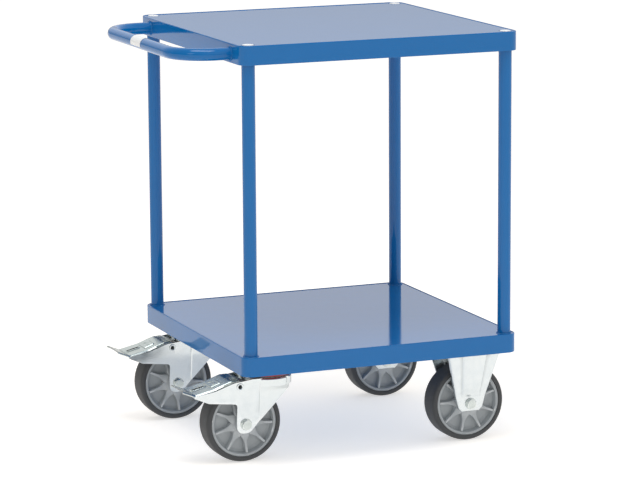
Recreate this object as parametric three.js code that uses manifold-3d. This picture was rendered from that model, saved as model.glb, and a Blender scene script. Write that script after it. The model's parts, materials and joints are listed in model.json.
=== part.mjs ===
// Two-tier table trolley: two square steel decks on four tube posts, a push handle
// on one end, two braked swivel castors under the handle and two fixed castors.
// Units are millimetres, +Z is up, the handle end points along -X and z = 0 is the floor.
import * as THREE from 'three';
import { mergeVertices } from 'three/addons/utils/BufferGeometryUtils.js';
import Module from 'manifold-3d';

const wasm = await Module();
wasm.setup();

// ---------- driving dimensions ----------
const GAP = 0.3; // clearance between pieces that touch

const DECK = 600; // side of both square decks, over the rims
const LOWER_TOP = 230; // height of the lower rim's top edge
const UPPER_TOP = 852; // height of the upper rim's top edge
const RIM_HEIGHT = 39;
const RIM_WALL = 3;
const RIM_CORNER = 22; // outside corner radius
const SHEET = 1.5; // deck sheet thickness
const SHEET_DROP = 1; // the sheet lies this much below the rim's edge
const LEDGE_WIDTH = 18; // inward flange of the rim that carries the sheet
const LEDGE = 3;

const POST_D = 26.9;
const POST_WALL = 2;
const POST_INSET = RIM_CORNER; // post axis to the rim's outside, at the corner's centre
const POST_ROOM = 0.8; // round a post where it passes through a deck
const POST_FOOT = 200; // height of the posts' lower ends, inside the lower rim
const CAP_HEAD = 1.4;
const CAP_DEPTH = 14;

const HANDLE_D = 25;
const HANDLE_WALL = 2;
const HANDLE_REACH = 102; // rim to the handle bar's axis
const HANDLE_LEG = 236; // legs at plus and minus this in Y
const HANDLE_BEND = 75;
const HANDLE_DROP = 21; // handle axis below the upper rim's top
const LABEL_LENGTH = 58; // blank band on the middle of the handle bar
const LABEL_SPAN = [60, 204]; // degrees round the bar, up from +X

const WHEEL_R = 80;
const WHEEL_FACETS = 24; // the same for tyre and rim, so that their facets lie parallel
const TYRE_WIDTH = 50;
const TYRE_INNER_R = 69;
const RIM_WIDTH = 46;
const HUB_R = 19;
const HUB_WIDTH = 60;
const BEARING_R = 12;
const AXLE_R = 6;
const AXLE_HEAD_AF = 19; // across flats
const AXLE_HEAD = 7.5;
const NUT = 10;

const CASTOR_HEIGHT = 196; // floor to the top of a castor's plate
const PLATE = { x: 140, y: 110, z: 3.5 };
const PLATE_HOLES = { x: 105, y: 80, r: 5.5 };
const SWIVEL_AT = { x: -215, y: 200 }; // swivel axis
const FIXED_AT = { x: 215.5, y: 216 }; // axle of a fixed castor
const RAIL_AT = 203; // middle of a castor rail
const TRAIL = 58.5; // swivel axis to the axle
const FORK_WALL = 3;
const LEG_OUT = 36; // outside of a fork leg beside the axle, from the wheel's middle
const ARM_OUT = 41; // outside of the fork where the pedal lies between its arms
const CROWN_R = 50;
const CROWN_TOP = 173.3;
const CROWN = 5;
const SKIRT_BOTTOM = 156;
const RACE_R = 46;
const RACE_BOTTOM = 176.6;
const KING_PIN_R = 8;
const PIVOT = { x: -72.5, z: 159.5 }; // pedal pivot, from the swivel axis
const PIVOT_R = 5.5;
const RIVET_HEAD = 1.2;
const PEDAL_REACH = 192.5; // swivel axis to the pedal's toe
const PEDAL_HALF = 37.4;
const PEDAL_SHEET = 2.5;
const PEDAL_FLANGE = 2;
const SHOE_HALF = 14;
const BRACKET_OUT = 58; // outside of a fixed castor's legs where they leave the plate
const CHANNEL_RISE = 2; // pressed channel down the middle of each fixed leg

const HALF = DECK / 2;
const POST_AT = HALF - POST_INSET;
const LABEL_R = HANDLE_D / 2 + 2 * GAP;
const SHIFT = (HANDLE_REACH + LABEL_R) / 2; // puts the origin under the whole trolley's middle

// ---------- finishes: colour, roughness, metalness ----------
const FINISH = {
  blue_paint: ['#2a6aad', 0.25, 0.1],
  zinc: ['#d5dcdc', 0.35, 0.9],
  steel: ['#8d9798', 0.4, 0.9],
  grey_plastic: ['#8b959c', 0.55, 0],
  grey_rubber: ['#45484b', 0.85, 0],
  red_plastic: ['#a02424', 0.5, 0],
  white_plastic: ['#e6e8ea', 0.5, 0],
};

// ---------- helpers ----------
const X = new THREE.Vector3(1, 0, 0);
const Y = new THREE.Vector3(0, 1, 0);
const Z = new THREE.Vector3(0, 0, 1);

// A closed three.js geometry as a solid that can be joined and cut.
function solid(geometry) {
  const bare = geometry.clone();
  bare.deleteAttribute('normal');
  bare.deleteAttribute('uv');
  const merged = mergeVertices(bare, 1e-4);
  const vertProperties = new Float32Array(merged.attributes.position.array);
  const triVerts = new Uint32Array(merged.index.array);
  return new wasm.Manifold(new wasm.Mesh({ numProp: 3, vertProperties, triVerts }));
}

const join = (...solids) => solids.reduce((a, b) => a.add(b));
const cut = (body, ...tools) => tools.reduce((a, b) => a.subtract(b), body);

function toGeometry(body) {
  const { vertProperties, triVerts } = body.getMesh();
  const geometry = new THREE.BufferGeometry();
  geometry.setAttribute('position', new THREE.BufferAttribute(vertProperties, 3));
  geometry.setIndex(new THREE.BufferAttribute(triVerts, 1));
  geometry.computeVertexNormals();
  return geometry;
}

const polygon = (points) => new THREE.Shape(points.map(([a, b]) => new THREE.Vector2(a, b)));
const extrude = (shape, depth, curveSegments = 5) =>
  new THREE.ExtrudeGeometry(shape, { depth, bevelEnabled: false, curveSegments });

// A shape drawn in X and Y, standing on height z.
const standing = (shape, z, height, curveSegments) =>
  extrude(shape, height, curveSegments).translate(0, 0, z);

// A shape drawn in X and Z, running from y0 to y1.
function alongY(shape, y0, y1, curveSegments) {
  const turned = new THREE.Matrix4().makeBasis(X, Z, Y.clone().negate());
  return extrude(shape, y1 - y0, curveSegments).applyMatrix4(turned).translate(0, y1, 0);
}

// A shape drawn in Y and Z, running from x0 to x1.
function alongX(shape, x0, x1) {
  const turned = new THREE.Matrix4().makeBasis(Y, Z, X);
  return extrude(shape, x1 - x0).applyMatrix4(turned).translate(x0, 0, 0);
}

function roundedSquare(side, radius) {
  const h = side / 2;
  const c = h - radius;
  const shape = new THREE.Shape();
  shape.moveTo(-c, -h).lineTo(c, -h).absarc(c, -c, radius, -Math.PI / 2, 0);
  shape.lineTo(h, c).absarc(c, c, radius, 0, Math.PI / 2);
  shape.lineTo(-c, h).absarc(-c, c, radius, Math.PI / 2, Math.PI);
  shape.lineTo(-h, -c).absarc(-c, -c, radius, Math.PI, Math.PI * 1.5);
  return shape;
}

function circle(radius, x = 0, y = 0) {
  return new THREE.Shape().absarc(x, y, radius, 0, Math.PI * 2);
}

// Round bar between two heights.
const barZ = (radius, z0, z1, x = 0, y = 0, segments = 16) =>
  new THREE.CylinderGeometry(radius, radius, z1 - z0, segments)
    .rotateX(Math.PI / 2).translate(x, y, (z0 + z1) / 2);

// Round bar along Y at (x, z).
const barY = (radius, y0, y1, x = 0, z = 0, segments = 16) =>
  new THREE.CylinderGeometry(radius, radius, y1 - y0, segments).translate(x, (y0 + y1) / 2, z);

// A closed profile of [radius, height] points, anticlockwise, spun round Z or round Y.
function ringZ(profile, segments) {
  const closed = [...profile, profile[0]].map(([r, h]) => new THREE.Vector2(r, h));
  return new THREE.LatheGeometry(closed, segments).rotateX(Math.PI / 2);
}
const ringY = (profile, segments) => ringZ(profile, segments).rotateX(-Math.PI / 2);

// Both mirror images of something placed on one side.
const bothSides = (make) => [make(-1), make(1)];
const eachCorner = (make) => [-1, 1].flatMap((i) => [-1, 1].map((j) => make(i, j)));

function mesh(parent, name, geometry, finish) {
  const [color, roughness, metalness] = FINISH[finish];
  const material = new THREE.MeshStandardMaterial({ color, roughness, metalness });
  const piece = new THREE.Mesh(geometry, material);
  piece.name = name;
  parent.add(piece);
  return piece;
}

const trolley = new THREE.Group();
trolley.position.x = SHIFT;

// ---------- decks ----------
const postHoles = (radius, z0, z1) =>
  eachCorner((i, j) => solid(barZ(radius, z0, z1, i * POST_AT, j * POST_AT, 12)));

// An upright wall with an inward ledge under the sheet, all round.
function deckRim(top) {
  const inner = DECK - 2 * RIM_WALL;
  const wall = roundedSquare(DECK, RIM_CORNER);
  wall.holes.push(roundedSquare(inner, RIM_CORNER - RIM_WALL));
  const ledge = roundedSquare(DECK - RIM_WALL, RIM_CORNER - RIM_WALL / 2);
  ledge.holes.push(roundedSquare(inner - 2 * LEDGE_WIDTH, RIM_WALL));
  const ledgeTop = top - SHEET_DROP - SHEET - GAP;
  const ring = join(
    solid(standing(wall, top - RIM_HEIGHT, RIM_HEIGHT)),
    solid(standing(ledge, ledgeTop - LEDGE, LEDGE)),
  );
  return toGeometry(cut(ring, ...postHoles(POST_D / 2 + POST_ROOM, ledgeTop - 2 * LEDGE, top)));
}

function deckSheet(top) {
  const sheet = roundedSquare(DECK - 2 * (RIM_WALL + GAP), RIM_CORNER - RIM_WALL - GAP);
  eachCorner((i, j) => sheet.holes.push(circle(POST_D / 2 + POST_ROOM, i * POST_AT, j * POST_AT)));
  return standing(sheet, top - SHEET_DROP - SHEET, SHEET, 6);
}

// U-shaped stiffener under the middle of a deck, its open side against the sheet.
function stiffener(top) {
  const [half, depth, wall] = [30, 20, 2];
  const high = top - SHEET_DROP - SHEET - GAP;
  const low = high - depth;
  const section = polygon([
    [-half, low], [half, low], [half, high], [half - wall, high],
    [half - wall, low + wall], [wall - half, low + wall], [wall - half, high], [-half, high],
  ]);
  const endRoom = 2;
  const reach = HALF - RIM_WALL - LEDGE_WIDTH - endRoom;
  return alongX(section, -reach, reach);
}

// Hat-shaped rail along each side, under the ledges; the castor plates bolt to its feet.
function castorRail(side) {
  const middle = side * RAIL_AT;
  const low = CASTOR_HEIGHT + GAP;
  const high = LOWER_TOP - SHEET_DROP - SHEET - LEDGE - 2 * GAP;
  const [foot, web, wall] = [58, 22, 3];
  const half = [[foot, low], [foot, low + wall], [web, low + wall], [web, high]];
  const inner = [[web - wall, low], [web - wall, high - wall]];
  const section = polygon([
    ...half.map(([y, z]) => [middle + y, z]),
    ...half.toReversed().map(([y, z]) => [middle - y, z]),
    ...inner.map(([y, z]) => [middle - y, z]),
    ...inner.toReversed().map(([y, z]) => [middle + y, z]),
  ]);
  const reach = HALF - RIM_WALL - GAP;
  return alongX(section, -reach, reach);
}

for (const [tier, top] of [['lower', LOWER_TOP], ['upper', UPPER_TOP]]) {
  mesh(trolley, `${tier}_rim`, deckRim(top), 'blue_paint');
  mesh(trolley, `${tier}_deck`, deckSheet(top), 'blue_paint');
  mesh(trolley, `${tier}_stiffener`, stiffener(top), 'blue_paint');
}

// ---------- posts and their caps ----------
const SIDES = [['right', -1], ['left', 1]];
const ENDS = [['rear', -1], ['front', 1]];

function post() {
  const shape = circle(POST_D / 2);
  shape.holes.push(circle(POST_D / 2 - POST_WALL));
  return standing(shape, POST_FOOT, UPPER_TOP - SHEET_DROP - POST_FOOT, 10);
}

// Plug with a thin flat head that closes a post's open top.
function postCap() {
  const head = POST_D / 2;
  const plug = POST_D / 2 - POST_WALL - GAP;
  const vent = 2;
  const seat = UPPER_TOP - SHEET_DROP + GAP;
  const [top, foot] = [seat + CAP_HEAD, seat - CAP_DEPTH];
  return ringZ([
    [vent, foot], [plug, foot], [plug, seat], [head, seat], [head - 0.8, top], [vent, top],
  ], 12);
}

for (const [end, i] of ENDS) {
  for (const [side, j] of SIDES) {
    const corner = new THREE.Group();
    corner.position.set(i * POST_AT, j * POST_AT, 0);
    trolley.add(corner);
    mesh(corner, `${end}_${side}_post`, post(), 'blue_paint');
    mesh(corner, `${end}_${side}_post_cap`, postCap(), 'white_plastic');
  }
}

for (const [side, j] of SIDES) {
  mesh(trolley, `${side}_castor_rail`, castorRail(j), 'blue_paint');
}

// ---------- push handle ----------
// A polyline through chosen stations, so that straight stretches take one step each.
class Route extends THREE.Curve {
  constructor(stations) {
    super();
    this.stations = stations;
  }

  getUtoTmapping(u) {
    return u;
  }

  getPoint(t, target = new THREE.Vector3()) {
    const last = this.stations.length - 1;
    const i = Math.min(Math.floor(t * last), last - 1);
    return target.lerpVectors(this.stations[i], this.stations[i + 1], t * last - i);
  }
}

function handleRoute() {
  const root = -HALF - GAP;
  const bar = -HALF - HANDLE_REACH;
  const bendAt = bar + HANDLE_BEND;
  const z = UPPER_TOP - HANDLE_DROP;
  const steps = 7;
  const bend = (side) => Array.from({ length: steps + 1 }, (_, i) => {
    const a = (i / steps) * Math.PI / 2;
    const y = HANDLE_LEG - HANDLE_BEND * (1 - Math.cos(a));
    return new THREE.Vector3(bendAt - HANDLE_BEND * Math.sin(a), side * y, z);
  });
  return new Route([
    new THREE.Vector3(root, -HANDLE_LEG, z),
    ...bend(-1),
    ...bend(1).reverse(),
    new THREE.Vector3(root, HANDLE_LEG, z),
  ]);
}

function pushHandle() {
  const extrudePath = handleRoute();
  const section = circle(HANDLE_D / 2);
  section.holes.push(circle(HANDLE_D / 2 - HANDLE_WALL));
  const steps = extrudePath.stations.length - 1;
  const options = { steps, extrudePath, curveSegments: 6, bevelEnabled: false };
  return new THREE.ExtrudeGeometry(section, options);
}

// Curved strip over the top and outer side of the bar.
function handleLabel() {
  const [from, to] = LABEL_SPAN.map(THREE.MathUtils.degToRad);
  const shape = new THREE.Shape().absarc(0, 0, LABEL_R, from, to);
  shape.absarc(0, 0, HANDLE_D / 2 + GAP, to, from, true);
  return alongY(shape, -LABEL_LENGTH / 2, LABEL_LENGTH / 2, 6);
}

mesh(trolley, 'push_handle', pushHandle(), 'blue_paint');
mesh(trolley, 'handle_label', handleLabel(), 'white_plastic')
  .position.set(-HALF - HANDLE_REACH, 0, UPPER_TOP - HANDLE_DROP);

// ---------- wheels, drawn round their own centre with the axle along Y ----------
function tyre() {
  const w = TYRE_WIDTH / 2;
  const shoulder = 5;
  return ringY([
    [TYRE_INNER_R + GAP, -w], [WHEEL_R - shoulder, -w], [WHEEL_R, -w + shoulder],
    [WHEEL_R, w - shoulder], [WHEEL_R - shoulder, w], [TYRE_INNER_R + GAP, w],
  ], WHEEL_FACETS);
}

// Outer flange, thin dished web and hub in one piece.
function wheelRim() {
  const [flange, hub] = [RIM_WIDTH / 2, HUB_WIDTH / 2];
  const web = 4;
  const lip = TYRE_INNER_R - 5;
  return ringY([
    [BEARING_R + GAP, -hub], [HUB_R, -hub], [HUB_R + 3, -web], [lip - 3, -web], [lip, -flange],
    [TYRE_INNER_R, -flange], [TYRE_INNER_R, flange], [lip, flange], [lip - 3, web],
    [HUB_R + 3, web], [HUB_R, hub], [BEARING_R + GAP, hub],
  ], WHEEL_FACETS);
}

// Roller bearing with its sleeve, which spaces the hub from the fork.
function wheelBearing() {
  const [hub, sleeve] = [HUB_WIDTH / 2, LEG_OUT - FORK_WALL - GAP];
  const bore = AXLE_R + GAP;
  const outside = bore + 3;
  return ringY([
    [bore, -sleeve], [outside, -sleeve], [outside, -hub], [BEARING_R, -hub],
    [BEARING_R, hub], [outside, hub], [outside, sleeve], [bore, sleeve],
  ], 12);
}

const hexagon = (acrossFlats, y0, y1) => barY(acrossFlats / Math.sqrt(3), y0, y1, 0, 0, 6);

function axleBolt() {
  const face = -LEG_OUT - GAP;
  const tip = LEG_OUT + GAP + NUT + 2;
  return toGeometry(join(
    solid(hexagon(AXLE_HEAD_AF, face - AXLE_HEAD, face)),
    solid(barY(AXLE_R, face - 1, tip, 0, 0, 12)),
  ));
}

function axleNut() {
  const face = LEG_OUT + GAP;
  const bore = solid(barY(AXLE_R + GAP, face - 1, face + NUT + 1, 0, 0, 12));
  return toGeometry(cut(solid(hexagon(AXLE_HEAD_AF, face, face + NUT)), bore));
}

function addWheel(castor, prefix, axleX) {
  const wheel = new THREE.Group();
  wheel.position.set(axleX, 0, WHEEL_R);
  castor.add(wheel);
  mesh(wheel, `${prefix}_tyre`, tyre(), 'grey_rubber');
  mesh(wheel, `${prefix}_wheel_rim`, wheelRim(), 'grey_plastic');
  mesh(wheel, `${prefix}_wheel_bearing`, wheelBearing(), 'steel');
  mesh(wheel, `${prefix}_axle_bolt`, axleBolt(), 'zinc');
  mesh(wheel, `${prefix}_axle_nut`, axleNut(), 'zinc');
}

// ---------- swivel castors, drawn round the swivel axis ----------
const plateSlab = (width) => solid(
  new THREE.BoxGeometry(PLATE.x, width, PLATE.z).translate(0, 0, CASTOR_HEIGHT - PLATE.z / 2),
);

function plateHoles() {
  const [low, high] = [CASTOR_HEIGHT - 2 * PLATE.z, CASTOR_HEIGHT + 1];
  const [x, y] = [PLATE_HOLES.x / 2, PLATE_HOLES.y / 2];
  return eachCorner((i, j) => solid(barZ(PLATE_HOLES.r, low, high, i * x, j * y, 8)));
}

// Top plate with the round race housing pressed down from it.
function swivelPlate() {
  const top = CASTOR_HEIGHT - PLATE.z;
  const bore = KING_PIN_R + GAP;
  const housing = ringZ([
    [bore, RACE_BOTTOM], [RACE_R - 3, RACE_BOTTOM], [RACE_R, RACE_BOTTOM + 3],
    [RACE_R, top + 1], [bore, top + 1],
  ], 24);
  return toGeometry(cut(join(plateSlab(PLATE.y), solid(housing)), ...plateHoles()));
}

// Ring round the housing that keeps dirt out of the balls.
function dustRing() {
  const [inner, outer] = [RACE_R + GAP, CROWN_R + 3];
  const [low, high] = [RACE_BOTTOM, RACE_BOTTOM + 10];
  return ringZ([
    [inner, low], [outer - 1, low], [outer, low + 2], [outer, high], [inner, high],
  ], 24);
}

// The balls' track between crown and housing, as one plain ring.
function ballRace() {
  const [inner, outer] = [RACE_R - 10, RACE_R - 2];
  const [low, high] = [CROWN_TOP + GAP, RACE_BOTTOM - GAP];
  return ringZ([[inner, low], [outer, low], [outer, high], [inner, high]], 20);
}

// Rivet that holds crown and plate together, its head under the crown.
function kingPin() {
  const headTop = CROWN_TOP - CROWN - GAP;
  return toGeometry(join(
    solid(barZ(KING_PIN_R + 5, headTop - 4, headTop, 0, 0, 12)),
    solid(barZ(KING_PIN_R, headTop - 1, CASTOR_HEIGHT - PLATE.z - 1, 0, 0, 12)),
  ));
}

// Outline of a fork side: foot round the axle, arm under the pedal, slope up to the crown.
function forkOutline() {
  const foot = 18;
  const left = -TRAIL - 19.5;
  const shape = new THREE.Shape();
  shape.moveTo(left, 74);
  shape.lineTo(left, 118).absarc(left - 6, 118, 6, 0, Math.PI / 2);
  shape.lineTo(-139.5, 131).lineTo(-163.5, 141.5).lineTo(-168.5, 144).lineTo(-168.5, 146.5);
  shape.lineTo(-125.5, 153).lineTo(-98.5, 162).quadraticCurveTo(-84.5, 168, -71.5, 169);
  shape.lineTo(-46.5, CROWN_TOP).lineTo(33.5, CROWN_TOP).lineTo(33.5, 152);
  shape.lineTo(-TRAIL + 15, 70);
  shape.absarc(-TRAIL, WHEEL_R, foot, -0.6, -Math.PI + 0.35, true);
  return shape;
}

// Cross-section of the fork sheet: close to the hub below, wider round the pedal above.
function forkSection(side) {
  const w = FORK_WALL;
  const line = [[LEG_OUT, 55], [LEG_OUT, 112], [ARM_OUT, 122], [ARM_OUT, CROWN_TOP - CROWN / 2]];
  const outer = line.map(([y, z]) => [side * y, z]);
  const inner = line.toReversed().map(([y, z]) => [side * (y - w), z]);
  return polygon(side > 0 ? [...outer, ...inner] : [...outer, ...inner].reverse());
}

// Round head of the fork with a skirt turned down round it.
function crown() {
  const [bore, skirt] = [KING_PIN_R + GAP, CROWN_R - FORK_WALL];
  const bottom = CROWN_TOP - CROWN;
  return ringZ([
    [bore, bottom], [skirt, bottom], [skirt, SKIRT_BOTTOM], [CROWN_R, SKIRT_BOTTOM],
    [CROWN_R, CROWN_TOP - 2], [CROWN_R - 2, CROWN_TOP], [bore, CROWN_TOP],
  ], 24);
}

function fork() {
  const sides = bothSides((side) => solid(alongX(forkSection(side), -PEDAL_REACH, CROWN_R)));
  const outline = solid(alongY(forkOutline(), -CROWN_R, CROWN_R, 4));
  const room = TYRE_WIDTH / 2 + 1.5;
  const wheelRoom = solid(barY(WHEEL_R + 3, -room, room, -TRAIL, WHEEL_R, 24));
  const arms = ARM_OUT - FORK_WALL;
  const notch = polygon([[-80, 150], [-36, 150], [-44, 168], [-80, 168]]);
  const pedalRoom = solid(alongY(notch, -arms, arms));
  const body = join(...sides.map((side) => side.intersect(outline)), solid(crown()));
  const bores = [
    solid(barY(AXLE_R + GAP, -CROWN_R, CROWN_R, -TRAIL, WHEEL_R, 12)),
    solid(barY(PIVOT_R + GAP, -CROWN_R, CROWN_R, PIVOT.x, PIVOT.z, 12)),
  ];
  return toGeometry(cut(body, wheelRoom, pedalRoom, ...bores));
}

// Pedal sheet seen from the side: hump over the wheel, ramp to the toe, lip turned up.
function pedalOutline() {
  const top = [
    [-59.5, 168], [-73.5, 172.5], [-88.5, 172], [-106.5, 166], [-124.5, 159.5], [-166.5, 150],
    [-PEDAL_REACH, 160.5],
  ];
  const bottom = top.map(([x, z], i) => {
    const before = top[Math.max(i - 1, 0)];
    const after = top[Math.min(i + 1, top.length - 1)];
    const run = new THREE.Vector2(after[0] - before[0], after[1] - before[1]).normalize();
    return [x - run.y * PEDAL_SHEET, z + run.x * PEDAL_SHEET];
  });
  return polygon([...top, ...bottom.reverse()]);
}

function brakePedal() {
  const sheet = solid(alongY(pedalOutline(), -PEDAL_HALF, PEDAL_HALF));
  const cheekShape = polygon([
    [-60.5, 166.9], [-64.5, 152.5], [-82.5, 150.5], [-102.5, 161.5], [-106.5, 164.7], [-88.5, 170.5],
    [-73.5, 171.1],
  ]);
  const cheeks = bothSides((side) => {
    const faces = [side * PEDAL_HALF, side * (PEDAL_HALF - PEDAL_FLANGE)].sort((a, b) => a - b);
    return solid(alongY(cheekShape, ...faces));
  });
  const slot = solid(new THREE.BoxGeometry(30, 5, 30).translate(-148.5, 0, 154.5));
  const bore = solid(barY(PIVOT_R + GAP, -CROWN_R, CROWN_R, PIVOT.x, PIVOT.z, 12));
  return toGeometry(cut(join(sheet, ...cheeks), slot, bore));
}

// Hollow rivet through one arm of the fork and one cheek of the pedal.
function pedalRivet(side) {
  const inner = side * (PEDAL_HALF - PEDAL_FLANGE - 1);
  const outer = side * (ARM_OUT + GAP);
  const head = side * (ARM_OUT + GAP + RIVET_HEAD);
  const [hollow, rim] = [3, PIVOT_R + 2];
  const profile = [
    [hollow, inner], [PIVOT_R, inner], [PIVOT_R, outer], [rim, outer], [rim, head], [hollow, head],
  ];
  return ringY(side > 0 ? profile : profile.reverse(), 8);
}

// Curved-faced block under the pedal that presses on the tyre.
function brakeShoe() {
  const outline = polygon([[-89.5, 158], [-89.5, 168.6], [-101.5, 164.6], [-101.5, 153.4]]);
  return alongY(outline, -SHOE_HALF, SHOE_HALF);
}

for (const [side, j] of SIDES) {
  const prefix = `rear_${side}`;
  const castor = new THREE.Group();
  castor.position.set(SWIVEL_AT.x, j * SWIVEL_AT.y, 0);
  trolley.add(castor);
  mesh(castor, `${prefix}_swivel_plate`, swivelPlate(), 'zinc');
  mesh(castor, `${prefix}_dust_ring`, dustRing(), 'red_plastic');
  mesh(castor, `${prefix}_ball_race`, ballRace(), 'steel');
  mesh(castor, `${prefix}_king_pin`, kingPin(), 'steel');
  mesh(castor, `${prefix}_fork`, fork(), 'zinc');
  mesh(castor, `${prefix}_brake_pedal`, brakePedal(), 'steel');
  mesh(castor, `${prefix}_brake_shoe`, brakeShoe(), 'steel');
  for (const [face, k] of [['outer', -1], ['inner', 1]]) {
    mesh(castor, `${prefix}_${face}_pedal_rivet`, pedalRivet(k), 'zinc')
      .position.set(PIVOT.x, 0, PIVOT.z);
  }
  addWheel(castor, prefix, -TRAIL);
}

// ---------- fixed castors, drawn round their axle's middle ----------
function legOutline(topHalf, footHalf, low) {
  const high = CASTOR_HEIGHT - PLATE.z / 2;
  const chamfer = 7;
  return polygon([
    [chamfer - footHalf, low], [footHalf - chamfer, low], [footHalf, low + chamfer],
    [topHalf, high], [-topHalf, high], [-footHalf, low + chamfer],
  ]);
}

// One sloping leg's sheet in cross-section, moved out by rise.
function legSection(side, rise, wall) {
  const line = [[LEG_OUT, 60], [LEG_OUT, 96], [BRACKET_OUT, CASTOR_HEIGHT - 1]];
  const outer = line.map(([y, z]) => [side * (y + rise), z]);
  const inner = line.toReversed().map(([y, z]) => [side * (y + rise - wall), z]);
  return polygon(side > 0 ? [...outer, ...inner] : [...outer, ...inner].reverse());
}

function fixedBracket() {
  const outline = solid(alongY(legOutline(58, 26, 65), -PLATE.y, PLATE.y));
  const channel = solid(alongY(legOutline(26, 18, 96), -PLATE.y, PLATE.y));
  const sheet = (side, rise) =>
    solid(alongX(legSection(side, rise, FORK_WALL), -PLATE.x / 2, PLATE.x / 2));
  const legs = bothSides((side) => sheet(side, 0).intersect(outline));
  const ribs = bothSides((side) => sheet(side, CHANNEL_RISE).intersect(channel));
  const above = solid(new THREE.BoxGeometry(2 * PLATE.x, 2 * PLATE.y, 10)
    .translate(0, 0, CASTOR_HEIGHT + 5));
  const axle = solid(barY(AXLE_R + GAP, -PLATE.y, PLATE.y, 0, WHEEL_R, 12));
  const body = join(plateSlab(2 * BRACKET_OUT + 6), ...legs, ...ribs);
  return toGeometry(cut(body, above, axle, ...plateHoles()));
}

for (const [side, j] of SIDES) {
  const prefix = `front_${side}`;
  const castor = new THREE.Group();
  castor.position.set(FIXED_AT.x, j * FIXED_AT.y, 0);
  trolley.add(castor);
  mesh(castor, `${prefix}_fixed_bracket`, fixedBracket(), 'zinc');
  addWheel(castor, prefix, 0);
}

export default trolley;
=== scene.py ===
# %% [markdown]
# # A two-tier table trolley
# Two square steel decks stand one above the other on four tube posts. A tube handle is
# welded to one end of the upper deck. Under it are two swivel castors with a brake pedal,
# and two fixed castors are at the other end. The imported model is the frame: every piece
# made here lies where its solid lies and rides on the same body.

import json
from math import cos, exp, hypot, pi, radians, sin, tan

import bmesh
import bpy
from mathutils import Euler, Matrix, Vector


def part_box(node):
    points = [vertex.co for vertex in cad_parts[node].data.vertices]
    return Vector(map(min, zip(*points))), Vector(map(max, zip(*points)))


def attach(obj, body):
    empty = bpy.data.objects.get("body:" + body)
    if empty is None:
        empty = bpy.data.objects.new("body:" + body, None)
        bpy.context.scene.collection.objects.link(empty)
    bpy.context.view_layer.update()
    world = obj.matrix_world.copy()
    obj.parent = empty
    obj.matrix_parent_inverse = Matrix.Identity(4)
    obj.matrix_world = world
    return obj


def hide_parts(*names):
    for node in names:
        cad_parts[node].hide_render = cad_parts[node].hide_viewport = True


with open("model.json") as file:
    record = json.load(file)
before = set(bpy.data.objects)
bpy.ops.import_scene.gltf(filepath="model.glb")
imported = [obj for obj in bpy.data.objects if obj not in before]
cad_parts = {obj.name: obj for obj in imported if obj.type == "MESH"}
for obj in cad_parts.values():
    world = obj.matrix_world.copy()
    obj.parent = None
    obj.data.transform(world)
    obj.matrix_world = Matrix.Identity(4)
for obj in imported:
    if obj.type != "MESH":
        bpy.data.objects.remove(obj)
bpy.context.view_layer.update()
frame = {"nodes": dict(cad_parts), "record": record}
MM = 0.001

# %% [markdown]
# ## Where things are
# Sizes come from the solids, so nothing is placed by eye. Lengths below are millimetres,
# because a maker thinks in them, and a mesh is turned into metres when it is made.


# %% Measure the solids
def span(name):
    """Lowest and highest corner of a solid, in millimetres."""
    low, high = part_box(name)
    return low / MM, high / MM


def middle(name):
    low, high = span(name)
    return (low + high) / 2


def upright(name, height=0):
    """The point at a height on the upright line through a solid's middle."""
    at = middle(name)
    return Vector((at.x, at.y, height))


ENDS = ("rear", "front")
SIDES = ("right", "left")
CORNERS = [(end, side) for end in ENDS for side in SIDES]
RIM_LOW, RIM_HIGH = span("upper_rim")
DECK = RIM_HIGH.y - RIM_LOW.y
DECK_X = (RIM_LOW.x + RIM_HIGH.x) / 2
POST_LOW, POST_HIGH = span("rear_right_post")
POST_R = (POST_HIGH.x - POST_LOW.x) / 2
WHEEL_R = middle("front_right_tyre").z
print(f"deck {DECK:.0f} mm, posts {2 * POST_R:.1f} mm, wheels {2 * WHEEL_R:.0f} mm")

# %% [markdown]
# ## Outlines
# Sheet metal and mouldings have no knife-sharp corners. An outline is written as corner
# points with a radius each, and one function rounds them all. It draws true arcs, so the
# foot of a fork and the lip of a rim come out round.


# %% Round the corners of an outline
def rounded(corners, steps=5):
    """Closed outline from (a, b, radius) corners."""
    points = []
    for i, (a, b, radius) in enumerate(corners):
        here = Vector((a, b))
        if radius == 0:
            points.append((a, b))
            continue
        back = Vector(corners[i - 1][:2]) - here
        ahead = Vector(corners[(i + 1) % len(corners)][:2]) - here
        half = back.angle(ahead) / 2
        reach = min(radius / tan(half), 0.49 * back.length, 0.49 * ahead.length)
        centre = here + (back.normalized() + ahead.normalized()).normalized() * reach / cos(half)
        first = here + back.normalized() * reach - centre
        last = here + ahead.normalized() * reach - centre
        turn = first.angle(last)
        for k in range(steps + 1):
            t = k / steps
            spoke = (first * sin((1 - t) * turn) + last * sin(t * turn)) / sin(turn)
            points.append(tuple(centre + spoke))
    return points


def ring_points(radius, a=0.0, b=0.0, count=24):
    return [
        (a + radius * cos(2 * pi * k / count), b + radius * sin(2 * pi * k / count))
        for k in range(count)
    ]


def smooth(value, start, end):
    """0 before start, 1 after end, and an even S between them."""
    t = min(max((value - start) / (end - start), 0.0), 1.0)
    return t * t * (3 - 2 * t)


print("a square with round corners:", len(rounded([(0, 0, 1), (9, 0, 1), (9, 9, 1), (0, 9, 1)])))

# %% [markdown]
# ## Four ways to make a shape
# A turned part is a profile spun round an axis. A rim is a profile carried round a path.
# A pressed sheet starts as a flat outline with holes, is bent by moving its points, and
# then gets its thickness and soft edges from modifiers. A plain solid only needs its
# edges broken. Each function returns points and faces, so that shapes can be joined.


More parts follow.
